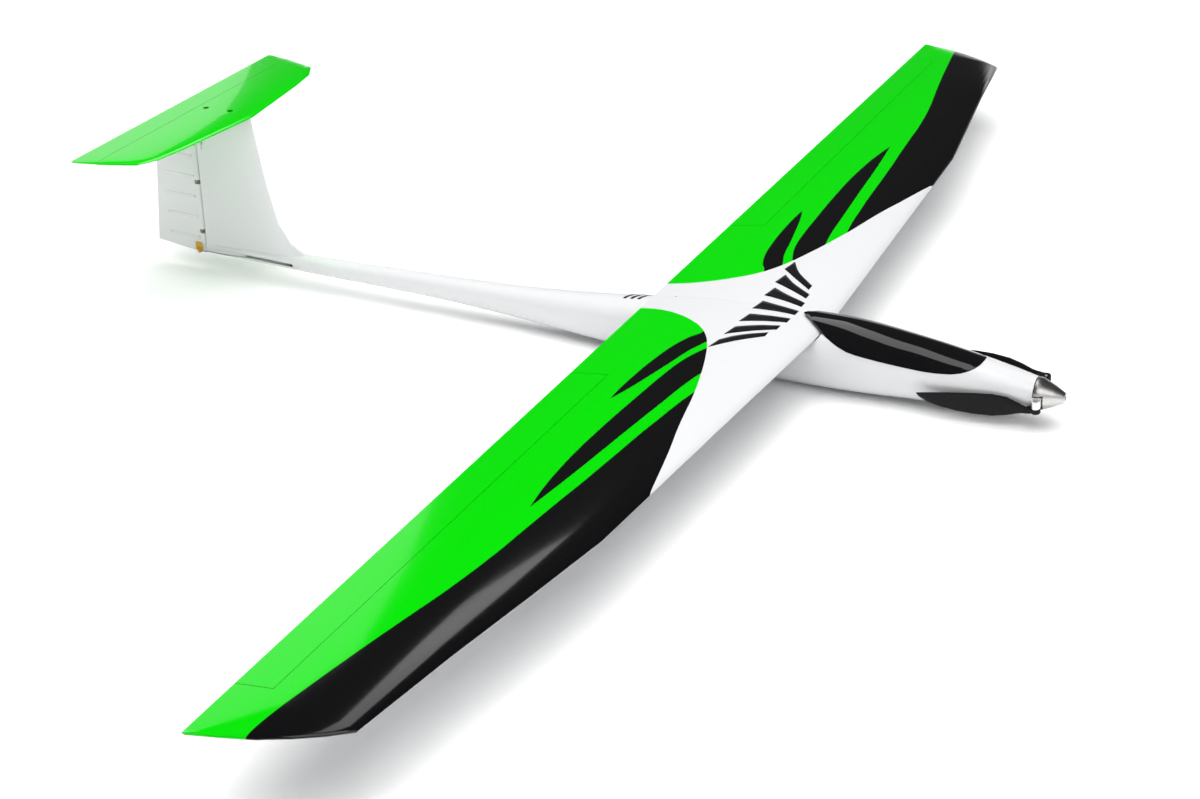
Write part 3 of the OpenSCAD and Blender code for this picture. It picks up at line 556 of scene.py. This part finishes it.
def repeat_tree(name, material):
    """Tree that sets a template piece on every point of a mesh, turned about Z by a seeded amount."""
    tree = bpy.data.node_groups.new(name, "GeometryNodeTree")
    face = tree.interface
    face.new_socket("Geometry", in_out="INPUT", socket_type="NodeSocketGeometry")
    face.new_socket("Template", in_out="INPUT", socket_type="NodeSocketObject")
    face.new_socket("Tilt", in_out="INPUT", socket_type="NodeSocketFloat")
    face.new_socket("Geometry", in_out="OUTPUT", socket_type="NodeSocketGeometry")
    new, link = tree.nodes.new, tree.links.new
    group_in, group_out = new("NodeGroupInput"), new("NodeGroupOutput")
    info, put = new("GeometryNodeObjectInfo"), new("GeometryNodeInstanceOnPoints")
    turn, join = new("FunctionNodeRandomValue"), new("ShaderNodeCombineXYZ")
    real, paint = new("GeometryNodeRealizeInstances"), new("GeometryNodeSetMaterial")
    turn.data_type = "FLOAT"
    turn.inputs["Seed"].default_value = 7
    turn.inputs[2].default_value, turn.inputs[3].default_value = 0.0, math.tau
    paint.inputs["Material"].default_value = material
    link(group_in.outputs["Template"], info.inputs["Object"])
    link(group_in.outputs["Geometry"], put.inputs["Points"])
    link(info.outputs["Geometry"], put.inputs["Instance"])
    link(turn.outputs[1], join.inputs["Z"])
    link(group_in.outputs["Tilt"], join.inputs["X"])
    link(join.outputs[0], put.inputs["Rotation"])
    link(put.outputs[0], real.inputs[0])
    link(real.outputs[0], paint.inputs["Geometry"])
    link(paint.outputs[0], group_out.inputs[0])
    return tree


def repeated(name, template_mesh, points, tilt, material, body):
    """Plain mesh of the template on every point, made by the repeat tree."""
    template = bpy.data.objects.new(name + "_template", template_mesh)
    bpy.context.scene.collection.objects.link(template)
    seeds = bpy.data.meshes.new(name + "_points")
    seeds.from_pydata([tuple(p) for p in points], [], [])
    carrier = bpy.data.objects.new(name + "_carrier", seeds)
    bpy.context.scene.collection.objects.link(carrier)
    modifier = carrier.modifiers.new("repeat", "NODES")
    modifier.node_group = repeat_tree(name + "_tree", material)
    sockets = {i.name: i.identifier for i in modifier.node_group.interface.items_tree if i.in_out == "INPUT"}
    modifier[sockets["Template"]] = template
    modifier[sockets["Tilt"]] = tilt
    bpy.context.view_layer.update()
    evaluated = carrier.evaluated_get(bpy.context.evaluated_depsgraph_get())
    mesh = bpy.data.meshes.new_from_object(evaluated)
    mesh.name = name
    for polygon in mesh.polygons:
        polygon.use_smooth = False
    bpy.data.objects.remove(carrier)
    bpy.data.objects.remove(template)
    return new_object(name, mesh, material, body)


# ---------------------------------------------------------------- settings
class GliderSettings(PropertyGroup):
    """Sizes and colours that a user may change."""

    green: FloatVectorProperty(name="Green", description="Colour of the film on wing and tail",
                               subtype="COLOR", size=3, min=0, max=1, default=(0.0, 0.56, 0.0))
    black: FloatVectorProperty(name="Black", description="Colour of the canopy, blades and dark film",
                               subtype="COLOR", size=3, min=0, max=1, default=(0.0035, 0.0035, 0.004))
    white: FloatVectorProperty(name="White", description="Colour of the gel coat and the light film",
                               subtype="COLOR", size=3, min=0, max=1, default=(0.66, 0.665, 0.675))
    wood: FloatVectorProperty(name="Wood", description="Colour of the plywood",
                              subtype="COLOR", size=3, min=0, max=1, default=(0.56, 0.37, 0.20))
    film_lift: FloatProperty(name="Film thickness", description="Half the thickness of a marking",
                             subtype="DISTANCE", default=0.00009, min=0.00003, max=0.0003)
    ribs: IntProperty(name="Rudder ribs", description="Number of ribs that show through the rudder's film",
                      default=6, min=2, max=10)
    lamp_power: FloatProperty(name="Overhead lamp", description="Power of the overhead soft light",
                              subtype="POWER", default=175.0, min=10, max=1000)


class GliderOperator(Operator):
    """What the glider's operators share."""

    bl_options = {"REGISTER", "UNDO"}

    def execute(self, context):
        self.make(context.scene.glider)
        return {"FINISHED"}


# ---------------------------------------------------------------- operators
class GLIDER_OT_stage(GliderOperator):
    """Camera, pale floor and soft studio light"""

    bl_idname = "glider.stage"
    bl_label = "Stage"

    def make(self, settings):
        scene = bpy.context.scene
        camera = bpy.data.objects.new("camera", bpy.data.cameras.new("camera"))
        scene.collection.objects.link(camera)
        camera.location = CAMERA_PLACE
        camera.rotation_euler = [math.radians(a) for a in CAMERA_TURN]
        camera.data.sensor_width = CAMERA_SENSOR
        camera.data.lens = CAMERA_LENS
        camera.data.clip_start = 0.05
        scene.camera = camera
        self.floor()
        overhead = self.lamp("overhead", (-0.1, 0.5, 3.3), (0.0, 0.3, 0.0), (5.0, 5.0), settings.lamp_power)
        overhead.visible_glossy = False
        for name, (place, aim, size, power) in LAMPS.items():
            self.lamp(name, place, aim, size, power)
        self.sun()
        self.world()
        scene.view_settings.view_transform = "Standard"

    def floor(self):
        mesh = bpy.data.meshes.new("floor")
        r = FLOOR_REACH
        mesh.from_pydata([(-r, -r, 0), (r, -r, 0), (r, r, 0), (-r, r, 0)], [], [(0, 1, 2, 3)])
        floor = bpy.data.objects.new("floor", mesh)
        bpy.context.scene.collection.objects.link(floor)
        s = Shader("paper_floor", Roughness=0.9)
        vector, _ = s.place()
        tone = s.mix(s.noise(vector, 0.8, 1.0), (0.93, 0.93, 0.935, 1.0), (0.96, 0.96, 0.96, 1.0))
        mesh.materials.append(s.feed(Base_Color=tone))

    def lamp(self, name, place, aim, size, power):
        data = bpy.data.lights.new(name, "AREA")
        data.shape = "RECTANGLE"
        data.size, data.size_y = size
        data.energy = power
        lamp = bpy.data.objects.new(name, data)
        bpy.context.scene.collection.objects.link(lamp)
        lamp.location = place
        lamp.rotation_euler = (Vector(aim) - Vector(place)).to_track_quat("-Z", "Y").to_euler()
        return lamp

    def sun(self):
        """Wide soft light from straight above that keeps the floor pale out to its edge."""
        data = bpy.data.lights.new("sky_light", "SUN")
        data.energy = SKY_STRENGTH
        data.angle = math.radians(SKY_SPREAD)
        lamp = bpy.data.objects.new("sky_light", data)
        bpy.context.scene.collection.objects.link(lamp)
        lamp.visible_glossy = False

    def world(self):
        """Pale near the horizon and dark above it, as in a studio with black drapes overhead."""
        world = bpy.data.worlds.new("studio")
        world.use_nodes = True
        tree = world.node_tree
        place = tree.nodes.new("ShaderNodeTexCoord")
        split = tree.nodes.new("ShaderNodeSeparateXYZ")
        height = tree.nodes.new("ShaderNodeMapRange")
        mix = tree.nodes.new("ShaderNodeMix")
        mix.data_type = "RGBA"
        height.inputs["From Min"].default_value, height.inputs["From Max"].default_value = HORIZON
        mix.inputs[6].default_value = HORIZON_COLOUR
        mix.inputs[7].default_value = OVERHEAD_COLOUR
        tree.links.new(place.outputs["Generated"], split.inputs[0])
        tree.links.new(split.outputs["Z"], height.inputs["Value"])
        tree.links.new(height.outputs[0], mix.inputs[0])
        tree.links.new(mix.outputs[2], tree.nodes["Background"].inputs["Color"])
        bpy.context.scene.world = world


class GLIDER_OT_fuselage(GliderOperator):
    """Pod, boom and fin, with three plain strokes on the boom"""

    bl_idname = "glider.fuselage"
    bl_label = "Fuselage"

    def make(self, settings):
        shell = refined("fuselage_shell", gel_coat(settings), 25.0)
        ink = vinyl("body_vinyl", settings)
        down = caster([shell], (0, 0, -1))
        first, pitch = 0.4835, 0.0095
        slashes = []
        for k in range(3):
            y = NOSE + first + pitch * k
            left = [(0.008, y - 0.002, ABOVE), (0.0, y + 0.004, ABOVE), (-0.008, y + 0.009, ABOVE)]
            right = [(0.0075, y + 0.001, ABOVE), (0.001, y + 0.0085, ABOVE), (-0.007, y + 0.013, ABOVE)]
            slashes.append((left, right))
        marking("boom_marks", slashes, down, settings.film_lift, ink, "airframe", 20, 9)


class GLIDER_OT_canopy(GliderOperator):
    """Canopy with its peg and magnets"""

    bl_idname = "glider.canopy"
    bl_label = "Canopy"

    def make(self, settings):
        refined("canopy", gloss_black(settings), 35.0)
        refined("canopy_peg", drawn_metal("peg_steel", (0.62, 0.62, 0.63)))
        refined("canopy_magnet", moulded("magnet_plate", (0.06, 0.06, 0.065), 0.5))


class GLIDER_OT_wing(GliderOperator):
    """Wing panels, ailerons and the plain dark bars across the centre"""

    bl_idname = "glider.wing"
    bl_label = "Wing"

    def make(self, settings):
        film = wing_film(settings)
        panels = [refined("wing_" + side, film, 30.0) for side in ("right", "left")]
        for side in ("right", "left"):
            refined("aileron_" + side, film, 30.0)
        down = caster(panels, (0, 0, -1))
        ink = vinyl("wing_vinyl", settings)
        marking("centre_bars", self.bars(), down, settings.film_lift, ink, "airframe")
        dressed("wing_joiner", carbon_cloth("joiner_carbon", settings, 0.4))

    def bars(self):
        """Edges of seven plain bars, which spread and widen a little towards the trailing edge."""
        thick = 0.0125
        front_pitch, back_pitch = 0.0235, 0.0400
        front = 0.292
        middle_left, middle_right = 0.318, 0.319
        back_left, back_right = 0.344, 0.340
        made = []
        for k in range(-3, 4):
            near, far = front_pitch * k, back_pitch * k
            halfway = (near + far) / 2
            bow = 0.0011 * k * k
            left = [
                (near - thick / 2, front + bow),
                (halfway - thick * 0.7, middle_left + bow),
                (far - thick, back_left + bow * 0.6),
            ]
            right = [
                (near + thick / 2, front + bow),
                (halfway + thick * 0.7, middle_right + bow),
                (far + thick, back_right + bow * 0.6),
            ]
            made.append([[(x, NOSE + y, ABOVE) for x, y in edge] for edge in (left, right)])
        return made


class GLIDER_OT_tail(GliderOperator):
    """Tailplane, elevator, rudder and their small fittings"""

    bl_idname = "glider.tail"
    bl_label = "Tail"

    def make(self, settings):
        green = plain_film("green_film", settings.green)
        refined("tailplane", green, 30.0)
        refined("elevator", green, 30.0)
        white = plain_film("white_film", settings.white)
        rudder = refined("rudder", white, 35.0)
        low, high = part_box("rudder")
        front, back = low.y + 0.008, high.y - 0.021
        stations = (front, (front + back) / 2, back)
        below, both_ends = 0.022, 0.052
        half_rib, rib_lift = 0.0016, 0.00012
        for side, way in (("right", 1), ("left", -1)):
            across = caster([rudder], (way, 0, 0))
            shapes = []
            for k in range(settings.ribs):
                z = low.z + below + (high.z - low.z - both_ends) * k / (settings.ribs - 1)
                shapes.append([[(-BESIDE * way, y, z + t) for y in stations] for t in (-half_rib, half_rib)])
            marking("rudder_ribs_" + side, shapes, across, rib_lift, white, "rudder", 10, 4)
        refined("rudder_hinges", moulded("hinge_epoxy", (0.20, 0.115, 0.045), 0.35))
        refined("rudder_hinge_wire", drawn_metal("hinge_steel", (0.45, 0.42, 0.38)))
        refined("rudder_horn", moulded("yellow_nylon", (0.62, 0.36, 0.02), 0.38))
        refined("elevator_horn", moulded("black_nylon_tail", (0.02, 0.02, 0.021), 0.4))
        refined("tailplane_screws", drawn_metal("black_steel_tail", (0.02, 0.02, 0.021), 0.35))


class GLIDER_OT_propeller(GliderOperator):
    """Spinner, yoke, folding blades and motor"""

    bl_idname = "glider.propeller"
    bl_label = "Propeller"

    def make(self, settings):
        turned = turned_metal("turned_aluminium", (0.66, 0.65, 0.63), 0.24)
        refined("spinner_cone", turned, 24.0)
        refined("spinner_backplate", turned)
        refined("prop_yoke", drawn_metal("milled_aluminium", (0.86, 0.86, 0.85), 0.2))
        steel = drawn_metal("bright_steel", (0.62, 0.62, 0.62), 0.22)
        for node in ("blade_pins", "shaft_nut", "motor_shaft"):
            refined(node, steel)
        black_steel = drawn_metal("black_steel", (0.03, 0.03, 0.032), 0.35)
        for node in ("spinner_screw", "motor_screws"):
            refined(node, black_steel)
        cloth = carbon_cloth("blade_carbon", settings, 0.24)
        for side in ("right", "left"):
            refined("blade_" + side, cloth, 40.0)
        refined("motor_bell", turned_metal("motor_case", (0.10, 0.10, 0.11), 0.28))
        dressed("motor_mount", turned_metal("mount_aluminium", (0.55, 0.55, 0.56), 0.3))
        dressed("motor_stator", wound_copper())


class GLIDER_OT_linkages(GliderOperator):
    """Servos, arms, horns, pushrods and servo covers"""

    bl_idname = "glider.linkages"
    bl_label = "Linkages"

    def make(self, settings):
        case = moulded("servo_case", (0.035, 0.035, 0.04), 0.36)
        nylon = moulded("white_nylon", (0.78, 0.77, 0.72), 0.4)
        horn = moulded("black_nylon", (0.02, 0.02, 0.021), 0.4)
        wire = drawn_metal("spring_wire", (0.55, 0.55, 0.56), 0.25)
        cover = moulded("cover_plastic", settings.white, 0.25)
        for side in ("right", "left"):
            refined("aileron_servo_" + side, case)
            refined("aileron_arm_" + side, nylon)
            refined("aileron_horn_" + side, horn)
            refined("aileron_pushrod_" + side, wire, 40.0)
            refined("servo_cover_" + side, cover)
        for tail in ("elevator", "rudder"):
            refined(tail + "_servo", case)
            refined(tail + "_arm", nylon)
            refined(tail + "_pushrod", wire, 40.0)
        refined("wing_bolts", nylon)
        self.cover_screws()

    def cover_screws(self):
        """Small screws at the corners of each servo cover."""
        steel = drawn_metal("cover_screw_steel", (0.5, 0.5, 0.5), 0.25)
        inset = 0.0015
        for side in ("right", "left"):
            low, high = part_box("servo_cover_" + side)
            points = []
            for x in (low.x + inset, high.x - inset):
                for y in (low.y + inset, high.y - inset):
                    share = (x - low.x) / (high.x - low.x)
                    rise = share if side == "left" else 1 - share
                    points.append((x, y, low.z + 0.00045 * rise))
            head = screw_head_mesh(0.0011, 0.0007)
            repeated("cover_screws_" + side, head, points, math.pi, steel, "airframe")


class GLIDER_OT_equipment(GliderOperator):
    """Tray, battery and electronics inside the pod"""

    bl_idname = "glider.equipment"
    bl_label = "Equipment"

    def make(self, settings):
        wood = plywood(settings)
        for node in ("firewall", "wing_seat", "equipment_tray", "sill_magnet"):
            dressed(node, wood)
        dressed("battery", moulded("battery_wrap", (0.02, 0.06, 0.30), 0.3, 0.3))
        dressed("battery_strap", woven("strap_webbing", (0.03, 0.03, 0.032)))
        dressed("esc", moulded("controller_wrap", (0.01, 0.09, 0.05), 0.28, 0.3))
        dressed("receiver", moulded("receiver_case", (0.05, 0.05, 0.055), 0.4))
        dressed("motor_leads", moulded("black_silicone", (0.015, 0.015, 0.016), 0.55))
        dressed("battery_leads", moulded("red_silicone", (0.5, 0.015, 0.01), 0.55))


class GLIDER_PT_sidebar(Panel):
    """Buttons and settings of the glider"""

    bl_label = "Glider"
    bl_idname = "GLIDER_PT_sidebar"
    bl_space_type = "VIEW_3D"
    bl_region_type = "UI"
    bl_category = "Glider"

    def draw(self, context):
        for operator in OPERATORS:
            self.layout.operator(operator.bl_idname)
        for name in GliderSettings.__annotations__:
            self.layout.prop(context.scene.glider, name)


OPERATORS = (
    GLIDER_OT_stage,
    GLIDER_OT_fuselage,
    GLIDER_OT_canopy,
    GLIDER_OT_wing,
    GLIDER_OT_tail,
    GLIDER_OT_propeller,
    GLIDER_OT_linkages,
    GLIDER_OT_equipment,
)
CLASSES = (GliderSettings, *OPERATORS, GLIDER_PT_sidebar)


def register():
    for cls in CLASSES:
        bpy.utils.register_class(cls)
    bpy.types.Scene.glider = PointerProperty(type=GliderSettings)


def unregister():
    del bpy.types.Scene.glider
    for cls in reversed(CLASSES):
        bpy.utils.unregister_class(cls)


def main():
    register()
    for operator in OPERATORS:
        group, name = operator.bl_idname.split(".")
        getattr(getattr(bpy.ops, group), name)()


if __name__ == "__main__":
    main()
